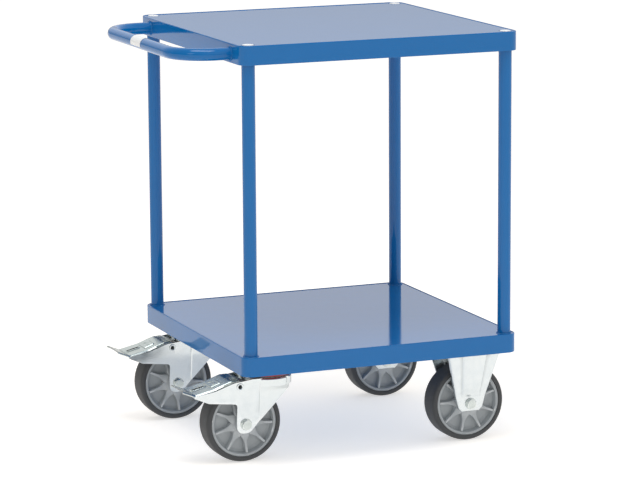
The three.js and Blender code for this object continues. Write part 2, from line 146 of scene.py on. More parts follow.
# %% Turned and swept shapes
def held(profile, gap=0.8):
    """Adds a point near both ends of each long side, so that its shading stays flat."""
    points = []
    for i, here in enumerate(profile):
        after = Vector(profile[(i + 1) % len(profile)])
        points.append(here)
        length = (after - Vector(here)).length
        if length > 6 * gap:
            points += [tuple(Vector(here).lerp(after, t)) for t in (gap / length, 1 - gap / length)]
    return points


def ring_faces(count, n):
    """Faces between closed rings of n points, with the last ring joined to the first."""
    return [
        (i * n + j, (i + 1) % count * n + j, (i + 1) % count * n + (j + 1) % n, i * n + (j + 1) % n)
        for i in range(count)
        for j in range(n)
    ]


def grid_faces(rows, n):
    """Faces between open rows of n points."""
    return [
        (i * n + j, i * n + j + 1, (i + 1) * n + j + 1, (i + 1) * n + j)
        for i in range(rows - 1)
        for j in range(n - 1)
    ]


def turned(profile, centre, axis="Z", steps=64):
    """A closed (radius, height) profile spun round an axis through centre."""
    profile = held(profile)
    points = []
    for i in range(steps):
        c, s = cos(2 * pi * i / steps), sin(2 * pi * i / steps)
        for r, h in profile:
            at = {"Z": (r * c, r * s, h), "Y": (r * c, h, r * s)}[axis]
            points.append(Vector(centre) + Vector(at))
    return points, ring_faces(steps, len(profile))


def round_square(side, radius, steps=12):
    """(position, outward direction) round a square with round corners."""
    stations = []
    for quarter in range(4):
        for k in range(steps + 1):
            a = (quarter + k / steps) * pi / 2
            out = Vector((cos(a), sin(a), 0))
            corner = Vector((cos((quarter + 0.5) * pi / 2), sin((quarter + 0.5) * pi / 2), 0))
            centre = corner * (side / 2 - radius) * 2**0.5
            stations.append((centre + out * radius, out))
    return stations


def swept_rim(profile, centre, side, radius):
    """An (inward, height) profile carried round a square."""
    profile = held(profile)
    path = round_square(side, radius)
    points = [
        Vector(centre) + at - out * inward + Vector((0, 0, height))
        for at, out in path
        for inward, height in profile
    ]
    return points, ring_faces(len(path), len(profile))


print("turned disc:", len(turned([(1, 0), (5, 0), (5, 2), (1, 2)], (0, 0, 0))[1]), "faces")


# %% Sheets and softened solids
def new_object(name, data):
    obj = bpy.data.objects.new(name, data)
    bpy.context.scene.collection.objects.link(obj)
    return obj


def raw_object(name, points, faces, edges=()):
    mesh = bpy.data.meshes.new(name)
    mesh.from_pydata([Vector(p) * MM for p in points], edges, faces)
    return new_object(name, mesh)


def applied(obj):
    """The object's evaluated mesh as points and faces; the object is removed."""
    bpy.context.view_layer.update()
    mesh = bpy.data.meshes.new_from_object(obj.evaluated_get(bpy.context.evaluated_depsgraph_get()))
    points = [v.co / MM for v in mesh.vertices]
    faces = [tuple(p.vertices) for p in mesh.polygons]
    bpy.data.objects.remove(obj)
    bpy.data.meshes.remove(mesh)
    return points, faces


def edge_bevel(obj, width, angle=40):
    bevel = obj.modifiers.new("soft edges", "BEVEL")
    bevel.width = width * MM
    bevel.segments = 2
    bevel.limit_method = "ANGLE"
    bevel.angle_limit = radians(angle)


def thick(points, faces, thickness, bevel=0.4):
    """Gives a surface its wall, half to each side, and breaks its edges."""
    obj = raw_object("sheet", points, faces)
    wall = obj.modifiers.new("wall", "SOLIDIFY")
    wall.thickness = thickness * MM
    wall.offset = 0
    wall.use_even_offset = True
    if bevel:
        edge_bevel(obj, bevel)
    return applied(obj)


TOO_CLOSE = 0.1


def flat(loops, cuts=()):
    """Fills an outline and its holes, cuts it along (axis, value) lines and removes slivers,
    which would spoil the wall's thickness."""
    bm = bmesh.new()
    for loop in loops:
        verts = [bm.verts.new((a, b, 0)) for a, b in loop]
        for i, v in enumerate(verts):
            bm.edges.new((verts[i - 1], v))
    bmesh.ops.triangle_fill(bm, edges=bm.edges[:], use_beauty=True)
    for axis, value in cuts:
        across = Vector((axis == "a", axis == "b", 0))
        bmesh.ops.bisect_plane(
            bm, geom=bm.verts[:] + bm.edges[:] + bm.faces[:], dist=TOO_CLOSE / 2,
            plane_co=across * value, plane_no=across,
        )
    bmesh.ops.remove_doubles(bm, verts=bm.verts, dist=TOO_CLOSE)
    bmesh.ops.dissolve_degenerate(bm, edges=bm.edges, dist=TOO_CLOSE)
    bm.verts.index_update()
    points = [tuple(v.co) for v in bm.verts]
    faces = [tuple(v.index for v in f.verts) for f in bm.faces]
    bm.free()
    return points, faces


def pressed(loops, place, thickness, cuts=(), bevel=0.4):
    """A flat blank put in place point by point, with its thickness."""
    points, faces = flat(loops, cuts)
    return thick([place(a, b) for a, b, _ in points], faces, thickness, bevel)


def softened(node, width):
    """A copy of a solid with its edges broken."""
    bm = bmesh.new()
    bm.from_mesh(frame["nodes"][node].data)
    bmesh.ops.remove_doubles(bm, verts=bm.verts, dist=0.01 * MM)
    bmesh.ops.dissolve_limit(bm, angle_limit=radians(1), verts=bm.verts, edges=bm.edges)
    mesh = bpy.data.meshes.new(node)
    bm.to_mesh(mesh)
    bm.free()
    obj = new_object("copy", mesh)
    edge_bevel(obj, width)
    return applied(obj)


print("softened stiffener:", len(softened("lower_stiffener", 1)[1]), "faces")

# %% [markdown]
# ## Nodes in short
# Materials and geometry trees are both node groups. One small function adds a node, sets
# its options and links or fills its sockets, so a tree reads from top to bottom like a
# list of steps.


# %% Add nodes and make groups
def add(tree, kind, sockets=None, **options):
    node = tree.nodes.new(kind)
    for key, value in options.items():
        setattr(node, key, value)
    for socket, source in (sockets or {}).items():
        if isinstance(source, bpy.types.NodeSocket):
            tree.links.new(source, node.inputs[socket])
        else:
            node.inputs[socket].default_value = source
    return node


def new_group(name, kind, inputs, outputs):
    tree = bpy.data.node_groups.new(name, kind)
    for direction, sockets in (("INPUT", inputs), ("OUTPUT", outputs)):
        for label, what in sockets:
            tree.interface.new_socket(name=label, in_out=direction, socket_type="NodeSocket" + what)
    return tree, add(tree, "NodeGroupInput").outputs, add(tree, "NodeGroupOutput").inputs


def shade_math(tree, operation, *values):
    return add(tree, "ShaderNodeMath", dict(enumerate(values)), operation=operation).outputs[0]


def blend_colours(tree, factor, first, second):
    """Colour mix; sockets 6 and 7 are a Mix node's colour inputs."""
    mix = add(tree, "ShaderNodeMix", {0: factor, 6: first, 7: second}, data_type="RGBA")
    return mix.outputs[2]


print("helpers ready")

# %% [markdown]
# ## Finishes
# Every real finish is uneven: powder coat has a fine orange-peel skin, zinc plate is
# cloudy, moulded plastic has a faint grain, and all of them gather a little dust on
# top. Their edges are made lighter, partly as rubbed wear and partly as a painted
# highlight, and folds and creases, mostly on the metal parts, are made darker with painted
# shade. Two shader groups hold those effects once. The materials use them with their own
# sizes and amounts.

# %% Shared surface effects
skin, given, result = new_group(
    "skin_texture",
    "ShaderNodeTree",
    [("Grain Size", "Float"), ("Cloud Size", "Float")],
    [("Height", "Float"), ("Clouds", "Float")],
)
place = add(skin, "ShaderNodeTexCoord").outputs["Object"]
for label, size, detail in (("Height", "Grain Size", 3.0), ("Clouds", "Cloud Size", 5.0)):
    scale = shade_math(skin, "DIVIDE", 1.0, given[size])
    noise = add(skin, "ShaderNodeTexNoise", {"Vector": place, "Scale": scale, "Detail": detail})
    skin.links.new(noise.outputs["Fac"], result[label])

EDGE_STARTS, EDGE_FULL = 0.53, 0.62
FOLD_STARTS, FOLD_FULL = 0.494, 0.43
wear_and_light_group, given, result = new_group(
    "rub_highlight_dust_and_fold_shade",
    "ShaderNodeTree",
    [("Rub And Edge Highlight", "Float"), ("Dust", "Float"), ("Painted Fold Shade", "Float")],
    [("Rub And Edge Highlight Mask", "Float"), ("Dust Mask", "Float"), ("Painted Fold Shade Mask", "Float")],
)
place = add(wear_and_light_group, "ShaderNodeTexCoord").outputs["Object"]
surface = add(wear_and_light_group, "ShaderNodeNewGeometry")
pointed = surface.outputs["Pointiness"]
patches = add(wear_and_light_group, "ShaderNodeTexNoise", {"Vector": place, "Scale": 140.0, "Detail": 4.0})
# Edge mask: edges are lightened, partly as rubbed wear and partly as a painted highlight.
edge = add(wear_and_light_group, "ShaderNodeMapRange", {0: pointed, 1: EDGE_STARTS, 2: EDGE_FULL})
rubbed_and_highlit = shade_math(wear_and_light_group, "MULTIPLY", edge.outputs[0], patches.outputs["Fac"])
wear_and_light_group.links.new(shade_math(wear_and_light_group, "MULTIPLY", rubbed_and_highlit, given["Rub And Edge Highlight"]), result["Rub And Edge Highlight Mask"])
# Fold mask: painted shade that darkens folds and creases.
fold = add(wear_and_light_group, "ShaderNodeMapRange", {0: pointed, 1: FOLD_STARTS, 2: FOLD_FULL})
wear_and_light_group.links.new(shade_math(wear_and_light_group, "MULTIPLY", fold.outputs[0], given["Painted Fold Shade"]), result["Painted Fold Shade Mask"])
up = add(wear_and_light_group, "ShaderNodeSeparateXYZ", {0: surface.outputs["Normal"]}).outputs["Z"]
lying = add(wear_and_light_group, "ShaderNodeMapRange", {0: up, 1: 0.3, 2: 1.0})
specks = add(wear_and_light_group, "ShaderNodeTexNoise", {"Vector": place, "Scale": 30.0, "Detail": 6.0})
settled = shade_math(wear_and_light_group, "MULTIPLY", lying.outputs[0], specks.outputs["Fac"])
wear_and_light_group.links.new(shade_math(wear_and_light_group, "MULTIPLY", settled, given["Dust"]), result["Dust Mask"])
print("groups:", skin.name, wear_and_light_group.name)


# %% One recipe for all finishes
DUST_COLOUR = (0.45, 0.45, 0.44, 1.0)
# Colour of the painted shade in folds and creases.
FOLD_SHADE_COLOUR = (0.03, 0.034, 0.034, 1.0)


def finish(
    name, colour, cloudy, rubbed_and_highlit, roughness, grain, bump,
    metallic=0.0, rub_and_highlight=0.3, dust=0.1, fold_shade=0.0, gloss=0.5,
):
    """A material: colour and its cloudy variant, colour of rubbed edges and their painted
    highlight, roughness (base and spread), grain (size and cloud size in mm), bump depth in mm, and
    amounts from 0 to 1."""
    material = bpy.data.materials.new(name)
    material.use_nodes = True
    tree = material.node_tree
    tree.nodes.clear()
    sizes = {"Grain Size": grain[0] * MM, "Cloud Size": grain[1] * MM}
    texture = add(tree, "ShaderNodeGroup", sizes, node_tree=skin)
    amounts = {"Rub And Edge Highlight": rub_and_highlight, "Dust": dust, "Painted Fold Shade": fold_shade}
    wear_and_light_masks = add(tree, "ShaderNodeGroup", amounts, node_tree=wear_and_light_group)
    clouds = texture.outputs["Clouds"]
    base = blend_colours(tree, clouds, (*colour, 1.0), (*cloudy, 1.0))
    base = blend_colours(tree, wear_and_light_masks.outputs["Rub And Edge Highlight Mask"], base, (*rubbed_and_highlit, 1.0))
    base = blend_colours(tree, wear_and_light_masks.outputs["Dust Mask"], base, DUST_COLOUR)
    base = blend_colours(tree, wear_and_light_masks.outputs["Painted Fold Shade Mask"], base, FOLD_SHADE_COLOUR)
    rough = shade_math(tree, "MULTIPLY_ADD", clouds, roughness[1], roughness[0])
    rough = shade_math(tree, "ADD", rough, wear_and_light_masks.outputs["Dust Mask"])
    relief = add(
        tree, "ShaderNodeBump",
        {"Strength": 1.0, "Distance": bump * MM, "Height": texture.outputs["Height"]},
    )
    sockets = {
        "Base Color": base, "Roughness": rough, "Metallic": metallic,
        "Specular IOR Level": gloss, "Normal": relief.outputs[0],
    }
    shader = add(tree, "ShaderNodeBsdfPrincipled", sockets)
    add(tree, "ShaderNodeOutputMaterial", {"Surface": shader.outputs[0]})
    return material


# %% [markdown]
# The blue is one glossy powder coat on every part of the frame. It is a deep blue seen
# straight on, and looks pale on the decks only because a glossy sheet mirrors the bright
# room at a low angle. The castors are bright zinc, the pedals a duller plated steel, the
# wheels grey plastic with a grey non-marking tyre.

# %% Make the finishes
BLUE = finish(
    "blue_powder_coat", (0.002, 0.127, 0.375), (0.003, 0.139, 0.405), (0.04, 0.21, 0.5),
    (0.04, 0.05), (1.1, 60), 0.003, rub_and_highlight=0.25, dust=0.03, gloss=0.36,
)
# The zinc's painted fold shade draws dark lines along the fork's crease and the bracket's channel.
ZINC = finish(
    "bright_zinc", (0.60, 0.655, 0.68), (0.75, 0.79, 0.80), (0.92, 0.94, 0.94),
    (0.10, 0.2), (0.7, 14), 0.005, metallic=0.95, rub_and_highlight=0.5, dust=0.04, fold_shade=0.9,
)
BOLT = finish(
    "bolt_zinc", (0.42, 0.47, 0.46), (0.66, 0.71, 0.70), (0.92, 0.94, 0.94),
    (0.10, 0.15), (0.5, 7), 0.006, metallic=1.0, rub_and_highlight=1.4, dust=0.05, fold_shade=0.9,
)
STEEL = finish(
    "plated_steel", (0.32, 0.37, 0.355), (0.56, 0.62, 0.605), (0.85, 0.88, 0.88),
    (0.14, 0.18), (0.5, 8), 0.006, metallic=1.0, rub_and_highlight=1.5, dust=0.03, fold_shade=0.9,
)
RUBBER = finish(
    "grey_tyre_rubber", (0.040, 0.043, 0.047), (0.055, 0.058, 0.062), (0.10, 0.10, 0.10),
    (0.55, 0.2), (0.8, 18), 0.02, rub_and_highlight=0.5, dust=0.15,
)
RED = finish(
    "red_ring_plastic", (0.30, 0.012, 0.012), (0.24, 0.01, 0.01), (0.45, 0.05, 0.05),
    (0.35, 0.15), (0.6, 12), 0.006,
)
WHITE_AND_CAP_GLINT = finish(
    "white_plastic", (0.80, 0.81, 0.82), (0.86, 0.87, 0.87), (0.9, 0.9, 0.9),
    (0.3, 0.1), (0.8, 20), 0.004, dust=0.05,
)
# Black for the sheet under each pedal slot, which paints the shade seen in the slot.
SLOT_SHADE_BLACK = finish(
    "black_slot_shade_sheet", (0.006, 0.006, 0.007), (0.010, 0.010, 0.011), (0.04, 0.04, 0.04),
    (0.5, 0.1), (0.5, 6), 0.006, dust=0.0,
)
# The large edge amount paints a highlight on the flange ring of each wheel rim.
MOULDED = finish(
    "grey_wheel_plastic", (0.34, 0.37, 0.39), (0.385, 0.415, 0.435), (0.62, 0.65, 0.67),
    (0.36, 0.12), (0.5, 16), 0.008, rub_and_highlight=2.4, dust=0.08, fold_shade=0.35,
)
print("finishes:", len(bpy.data.materials))

# %% [markdown]
# ## Handing a piece over
# A finished piece is one closed mesh at the origin, smooth where it is round and sharp at
# its folds. It says which solid it stands for, which body it rides on and which stock
# finish it takes.

# %% Make and place a piece
BODY_OF = {
    node: body for body, nodes in frame["record"]["behaviour"]["bodies"].items() for node in nodes
}


def smooth_faces(mesh):
    mesh.polygons.foreach_set("use_smooth", [True] * len(mesh.polygons))


def shade(mesh, sharp):
    """Cleans the mesh, turns its faces outward and keeps edges over an angle sharp."""
    bm = bmesh.new()
    bm.from_mesh(mesh)
    bmesh.ops.remove_doubles(bm, verts=bm.verts, dist=0.002 * MM)
    bmesh.ops.dissolve_degenerate(bm, dist=0.001 * MM, edges=bm.edges)
    bmesh.ops.recalc_face_normals(bm, faces=bm.faces)
    bm.to_mesh(mesh)
    bm.free()
    smooth_faces(mesh)
    mesh.set_sharp_from_angle(angle=radians(sharp))


def hand_over(obj, nodes, body=None):
    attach(obj, body or BODY_OF[nodes[0]])
    if nodes:
        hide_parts(*nodes)
    return obj


def joined(shapes):
    points, faces = [], []
    for shape_points, shape_faces in shapes:
        start = len(points)
        points += shape_points
        faces += [tuple(start + i for i in face) for face in shape_faces]
    return points, faces


SHARP = 32


def piece(name, shapes, material, *nodes, body=None, sharp=SHARP):
    """Joins shapes into one object, finishes it and puts it on its body."""
    obj = raw_object(name, *joined(shapes))
    shade(obj.data, sharp)
    obj.data.materials.append(material)
    return hand_over(obj, nodes, body)


print("rides on:", BODY_OF["push_handle"])

# %% [markdown]
# ## Trees for what repeats
# Wheel spokes and bearing balls go round an axis, castor bolts sit on a rectangle, and a
# weld bead is a row of small dabs along a seam. Each rule is a geometry tree with named
# inputs. The handle is a path with round bends and a tube round it, so it is a tree too.
# A result is turned into a plain mesh at once, because the finished model holds no trees.


# %% Run a tree on an object
def grown(name, base, tree, **inputs):
    """An object whose mesh is what the tree makes of the base points and edges."""
    obj = raw_object(name + "_source", base[0], [], base[1])
    modifier = obj.modifiers.new(tree.name, "NODES")
    modifier.node_group = tree
    known = {item.name: item.identifier for item in tree.interface.items_tree}
    for label, value in inputs.items():
        modifier[known[label.replace("_", " ")]] = value
    bpy.context.view_layer.update()
    made = obj.evaluated_get(bpy.context.evaluated_depsgraph_get())
    mesh = bpy.data.meshes.new_from_object(made)
    obj.modifiers.remove(modifier)
    bpy.data.objects.remove(obj)
    return new_object(name, mesh)


def tree_end(tree, result, geometry, material):
    """Instances made real, material set, result out."""
    real = add(tree, "GeometryNodeRealizeInstances", {0: geometry})
    dressed = add(tree, "GeometryNodeSetMaterial", {"Geometry": real.outputs[0], "Material": material})
    tree.links.new(dressed.outputs[0], result["Geometry"])


def copies_end(tree, given, result, spots, **turn):
    """A copy of the given piece on each spot, moved to the centre."""
    one = add(tree, "GeometryNodeObjectInfo", {"Object": given["Piece"]})
    sockets = {"Points": spots, "Instance": one.outputs["Geometry"], **turn}
    copies = add(tree, "GeometryNodeInstanceOnPoints", sockets)
    sockets = {"Geometry": copies.outputs[0], "Translation": given["Centre"]}
    put = add(tree, "GeometryNodeTransform", sockets)
    tree_end(tree, result, put.outputs[0], given["Material"])
    print(tree.name, "with", len(tree.nodes), "nodes")


GEOMETRY = ("Geometry", "Geometry")
ONE_POINT = ([(0, 0, 0)], [])
print("tree helper ready")

# %% The tube along a path
tube_tree, given, result = new_group(
    "bent_tube", "GeometryNodeTree",
    [GEOMETRY, ("Bend Radius", "Float"), ("Tube Radius", "Float"), ("Material", "Material")],
    [GEOMETRY],
)
path = add(tube_tree, "GeometryNodeMeshToCurve", {0: given["Geometry"]})
bent = add(
    tube_tree, "GeometryNodeFilletCurve",
    {"Curve": path.outputs[0], "Count": 20, "Radius": given["Bend Radius"], "Limit Radius": True},
    mode="POLY",
)
section = add(
    tube_tree, "GeometryNodeCurvePrimitiveCircle", {"Resolution": 40, "Radius": given["Tube Radius"]}
)
tube = add(
    tube_tree, "GeometryNodeCurveToMesh",
    {"Curve": bent.outputs[0], "Profile Curve": section.outputs[0], "Fill Caps": True},
)
tree_end(tube_tree, result, tube.outputs[0], given["Material"])
print(tube_tree.name, "with", len(tube_tree.nodes), "nodes")

# %% Pieces round an axis
round_tree, given, result = new_group(
    "repeat_round_axis", "GeometryNodeTree",
    [GEOMETRY, ("Piece", "Object"), ("Count", "Int"), ("Start", "Vector"), ("Turn", "Vector"),
     ("Centre", "Vector"), ("Material", "Material")],
    [GEOMETRY],
)
spots = add(round_tree, "GeometryNodePoints", {"Count": given["Count"]})
number = add(round_tree, "GeometryNodeInputIndex").outputs[0]
turns = add(
    round_tree, "ShaderNodeVectorMath", {0: given["Turn"], 1: number, 2: given["Start"]},
    operation="MULTIPLY_ADD",
)
copies_end(round_tree, given, result, spots.outputs[0], Rotation=turns.outputs[0])

# %% Bolts on a rectangle
bolt_tree, given, result = new_group(
    "bolts_on_rectangle", "GeometryNodeTree",
    [GEOMETRY, ("Piece", "Object"), ("Length", "Float"), ("Width", "Float"), ("Centre", "Vector"),
     ("Material", "Material")],
    [GEOMETRY],
)
rectangle = add(
    bolt_tree, "GeometryNodeMeshGrid",
    {"Size X": given["Length"], "Size Y": given["Width"], "Vertices X": 2, "Vertices Y": 2},
)
copies_end(bolt_tree, given, result, rectangle.outputs[0])

# %% A weld bead along a seam
weld_tree, given, result = new_group(
    "weld_bead", "GeometryNodeTree",
    [GEOMETRY, ("Pitch", "Float"), ("Bead Radius", "Float"), ("Material", "Material")],
    [GEOMETRY],
)
seam = add(weld_tree, "GeometryNodeMeshToCurve", {0: given["Geometry"]})
steps = add(
    weld_tree, "GeometryNodeResampleCurve", {"Curve": seam.outputs[0], "Length": given["Pitch"]},
    mode="LENGTH",
)
dab = add(weld_tree, "GeometryNodeMeshIcoSphere", {"Radius": given["Bead Radius"], "Subdivisions": 2})
DAB_SIZES = (0.85, 1.1)
varied = add(weld_tree, "FunctionNodeRandomValue", {2: DAB_SIZES[0], 3: DAB_SIZES[1], "Seed": 7})
copies = add(
    weld_tree, "GeometryNodeInstanceOnPoints",
    {"Points": steps.outputs[0], "Instance": dab.outputs[0], "Scale": varied.outputs[1]},
)
tree_end(weld_tree, result, copies.outputs[0], given["Material"])
print(weld_tree.name, "with", len(weld_tree.nodes), "nodes")

# %% [markdown]
# ## The decks
# Each deck is a flat sheet that lies just below the edge of a rim. The rim is an upright
# strip with a ledge turned in under the sheet, bent round the corners. Carrying one
# rounded profile round the square makes the whole rim. The sheets are plain flat solids
# already, so they keep their mesh and only get the finish.

# %% Rims and sheets
RIM_CORNER = 22
RIM_WALL = 3
LEDGE_REACH = 21
LEDGE_DOWN = (2.8, 5.8)
for tier in ("lower", "upper"):
    low, high = span(f"{tier}_rim")
    top, foot = high.z, low.z
    profile = rounded([
        (0, foot, 0.8), (0, top, 1.4), (RIM_WALL, top, 1.0),
        (RIM_WALL, top - LEDGE_DOWN[0], 0), (LEDGE_REACH, top - LEDGE_DOWN[0], 0.5),
        (LEDGE_REACH, top - LEDGE_DOWN[1], 0.5), (RIM_WALL, top - LEDGE_DOWN[1], 1.0),
        (RIM_WALL, foot, 0.8),
    ], 4)
    rim = swept_rim(profile, (DECK_X, 0, 0), DECK, RIM_CORNER)
    piece(f"{tier}_deck_rim", [rim], BLUE, f"{tier}_rim")
    sheet = frame["nodes"][f"{tier}_deck"]
    sheet.data.materials.clear()
    sheet.data.materials.append(BLUE)
    print(tier, "rim", len(rim[1]), "faces")

# %% [markdown]
# Stiffeners and castor rails are bent from sheet. Their solids have the right section, so
# a copy with broken edges is enough.

# %% Channels and rails under the decks
for node in ("lower_stiffener", "upper_stiffener", "right_castor_rail", "left_castor_rail"):
    channel = piece(f"{node}_bent", [softened(node, 0.8)], BLUE, node)
    print(channel.name, len(channel.data.polygons), "faces")

# %% [markdown]
# ## The posts
# A post is a plain round tube, so it is turned from a four-cornered profile. The
# cap is a plug with a low dome that fits inside the tube and closes its open top. It is
# made white as a painted highlight, for the glint on the tube end.

# %% Posts and caps
POST_WALL = 2
GAP = 0.3
bore = POST_R - POST_WALL
plug = bore - GAP
foot, head = POST_LOW.z, POST_HIGH.z
seat = head + GAP
wall = rounded([(bore, foot, 0.4), (POST_R, foot, 0.4), (POST_R, head, 0.6), (bore, head, 0.4)], 3)
dome = rounded([
    (0, seat + 1.7, 0), (6, seat + 1.6, 6), (plug - 0.2, seat + 0.9, 1.0), (plug, seat, 0.2),
    (plug, seat - 14, 0.5), (plug - 2, seat - 14, 0.5), (plug - 2, seat - 1.5, 1),
    (0, seat - 1.5, 0),
], 3)
for end, side in CORNERS:
    node = f"{end}_{side}_post"
    axis = upright(node)
    piece(f"{node}_tube", [turned(wall, axis, steps=56)], BLUE, node)
    # The white plug colour is a painted highlight for the glint on the tube end.
    piece(f"{node}_plug", [turned(dome, axis, steps=40)], WHITE_AND_CAP_GLINT, f"{node}_cap")
print("post height", round(head - foot), "mm")

# %% [markdown]
# ## The handle
# The handle is one tube bent twice, in line with the middle of the upper rim. Four points
# are its path, and the tree rounds the bends and puts the tube round it. A blank label is
# wrapped over the top and outer side of the bar.

# %% Handle tube
BEND_RADIUS = 75
low, high = span("push_handle")
tube_r = (high.z - low.z) / 2
tube_z = (high.z + low.z) / 2
bar_x = low.x + tube_r
leg_y = high.y - tube_r
corners = ((high.x, -leg_y), (bar_x, -leg_y), (bar_x, leg_y), (high.x, leg_y))
route = [(x, y, tube_z) for x, y in corners]
handle = grown(
    "handle_tube", (route, [(0, 1), (1, 2), (2, 3)]), tube_tree,
    Bend_Radius=BEND_RADIUS * MM, Tube_Radius=tube_r * MM, Material=BLUE,
)
shade(handle.data, 40)
hand_over(handle, ["push_handle"])
print("handle reaches", round(RIM_LOW.x - bar_x), "mm out, legs", round(2 * leg_y), "mm apart")

# %% Handle label
LABEL_TURN = (60, 204)
LABEL_WALL = 0.3
low, high = span("handle_label")
label_r = tube_r + 1.5 * LABEL_WALL
rows, columns = 25, 13
points = []
for i in range(rows):
    a = radians(LABEL_TURN[0] + (LABEL_TURN[1] - LABEL_TURN[0]) * i / (rows - 1))
    for j in range(columns):
        y = low.y + (high.y - low.y) * j / (columns - 1)
        points.append((bar_x + label_r * cos(a), y, tube_z + label_r * sin(a)))
label = thick(points, grid_faces(rows, columns), LABEL_WALL, 0)
piece("handle_blank_label", [label], WHITE_AND_CAP_GLINT, "handle_label")
print("label", round(high.y - low.y), "mm long")

# %% [markdown]
# ## Welds
# The posts are welded to both decks and the handle to the rim. Under the paint each seam
# shows as a ring of small overlapping dabs.


# %% Weld beads
def seam_ring(centre, radius, across, count=36):
    """Points and edges of a ring that lies square to an axis."""
    points = []
    for k in range(count):
        c, s = radius * cos(2 * pi * k / count), radius * sin(2 * pi * k / count)
        points.append(Vector(centre) + Vector((0, c, s) if across == "X" else (c, s, 0)))
    return points, [(k, (k + 1) % count) for k in range(count)]


DAB = 1.9
DAB_PITCH = 2.3
SEAM_OUT = 0.8
sheet_top = span("lower_deck")[1].z
ledge_foot = RIM_HIGH.z - LEDGE_DOWN[1]
seams = {}
for end, side in CORNERS:
    post = f"{end}_{side}_post"
    for place, level in (("foot", sheet_top), ("head", ledge_foot)):
        seams[f"{end}_{side}_{place}_weld"] = seam_ring(upright(post, level), POST_R + SEAM_OUT, "Z")
for side, sign in zip(SIDES, (-1, 1)):
    root = (RIM_LOW.x - GAP, sign * leg_y, tube_z)
    seams[f"{side}_handle_weld"] = seam_ring(root, tube_r + SEAM_OUT, "X")
for name, ring in seams.items():
    bead = grown(name, ring, weld_tree, Pitch=DAB_PITCH * MM, Bead_Radius=DAB * MM, Material=BLUE)
    smooth_faces(bead.data)
    hand_over(bead, [], "chassis")
print(len(seams), "beads,", len(bead.data.polygons), "faces in the last")

# %% [markdown]
# ## Bolts and nuts
# A hexagon head has six flats, a chamfer that cuts its corners away in shallow arcs, and a
# washer face. Rings of points whose radius follows the hexagon make it, with the chamfer's
# height lowered at the corners. A thread is a row of ridges turned round the shank.


# %% Hexagon heads
FACE_PART, CHAMFER_DROP, CHAMFER_SLOPE, DISH = 0.93, 0.5, 0.45, 0.3


def hexagon(across, low, high, toward, hole=0.0, n=60):
    """A head or nut along its own axis; the chamfered face is at high."""
    flat_r = across / 2
    side_low, side_high, face = [], [], []
    for k in range(n):
        a = 2 * pi * k / n
        c, s = cos(a), sin(a)
        r = flat_r / cos((a + pi / 6) % (pi / 3) - pi / 6)
        drop = CHAMFER_DROP + (r - flat_r) * CHAMFER_SLOPE
        side_low.append((r * c, r * s, low))
        side_high.append((r * c, r * s, high - drop * toward))
        face.append((flat_r * FACE_PART * c, flat_r * FACE_PART * s, high))
    inner = ring_points(hole or flat_r * 0.5, count=n)
    dish = [(a, b, high - DISH * toward) for a, b in inner]
    back = [(a, b, low) for a, b in inner]
    points = side_low + side_high + face + dish + back
    faces = [
        (i * n + k, i * n + (k + 1) % n, (i + 1) % 5 * n + (k + 1) % n, (i + 1) % 5 * n + k)
        for i in range(5)
        for k in range(n)
    ]
    if not hole:
        faces = [f for f in faces if not all(v >= 3 * n for v in f)]
        faces += [tuple(3 * n + k for k in range(n)), tuple(4 * n + k for k in range(n))]
    return points, faces


def along_y(shape, centre):
    """Lays a shape made along Z along Y."""
    points, faces = shape
    return [Vector(centre) + Vector((x, z, y)) for x, y, z in points], faces


def thread(radius, low, high, pitch=1.5, depth=0.5):
    """Outline of a threaded shank from its tip down to low."""
    outline = [(0, low), (radius, low)]
    level = low + 0.5
    while level < high - pitch:
        outline += [(radius, level), (radius - depth, level + pitch / 2)]
        level += pitch
    return outline + [(radius, high - pitch), (radius - 1, high), (0, high)]


print("thread ridges:", len(thread(6, 0, 20)) // 2)

# %% Bolt for the castor plates
ORIGIN = (0, 0, 0)
washer = rounded([(0, -2, 0), (10, -2, 0.4), (10, -0.1, 0.4), (0, -0.1, 0)], 2)
bolt_parts = [
    hexagon(17, -2.0, -8.4, -1), turned(washer, ORIGIN, steps=36),
    turned(thread(4.9, -1, 15), ORIGIN, steps=24),
]
plate_bolt = raw_object("plate_bolt_piece", *joined(bolt_parts))
shade(plate_bolt.data, SHARP)
print("plate bolt:", len(plate_bolt.data.polygons), "faces")

# %% [markdown]
# ## The wheels
# A wheel is a grey rubber tyre on a plastic rim with nine spokes. The spokes are ribs on
# both faces of a thin closed web: wide where they grow out of the hub, narrow at the
# flange. Rim and tyre are turned, and the tree repeats one spoke round the axle.

# %% One spoke
SPOKES = 9
SPOKE_SIZES = (
    (15, 5.6, 22.5), (22, 8.6, 22), (27, 8.4, 21.5), (31, 6.2, 21), (36, 4.2, 20.6), (43, 2.8, 20.2),
    (62.5, 2.1, 21.5),
)
FIRST_SPOKE = {"rear": radians(3.5), "front": radians(22)}


def one_spoke():
    """A tapered rib through the web, as (radius, half width, half thickness) stations."""
    points = []
    for r, half, deep in SPOKE_SIZES:
        points += [(r, -deep, -half), (r, deep, -half), (r, deep, half), (r, -deep, half)]
    last = 4 * (len(SPOKE_SIZES) - 1)
    faces = [(3, 2, 1, 0), (last, last + 1, last + 2, last + 3)]
    for s in range(0, last, 4):
        faces += [(s + k, s + (k + 1) % 4, s + 4 + (k + 1) % 4, s + 4 + k) for k in range(4)]
    rib = raw_object("spoke", points, faces)
    edge_bevel(rib, 0.9, 50)
    return applied(rib)


spoke = raw_object("spoke_piece", *one_spoke())
shade(spoke.data, 40)
print("spoke:", len(spoke.data.polygons), "faces")

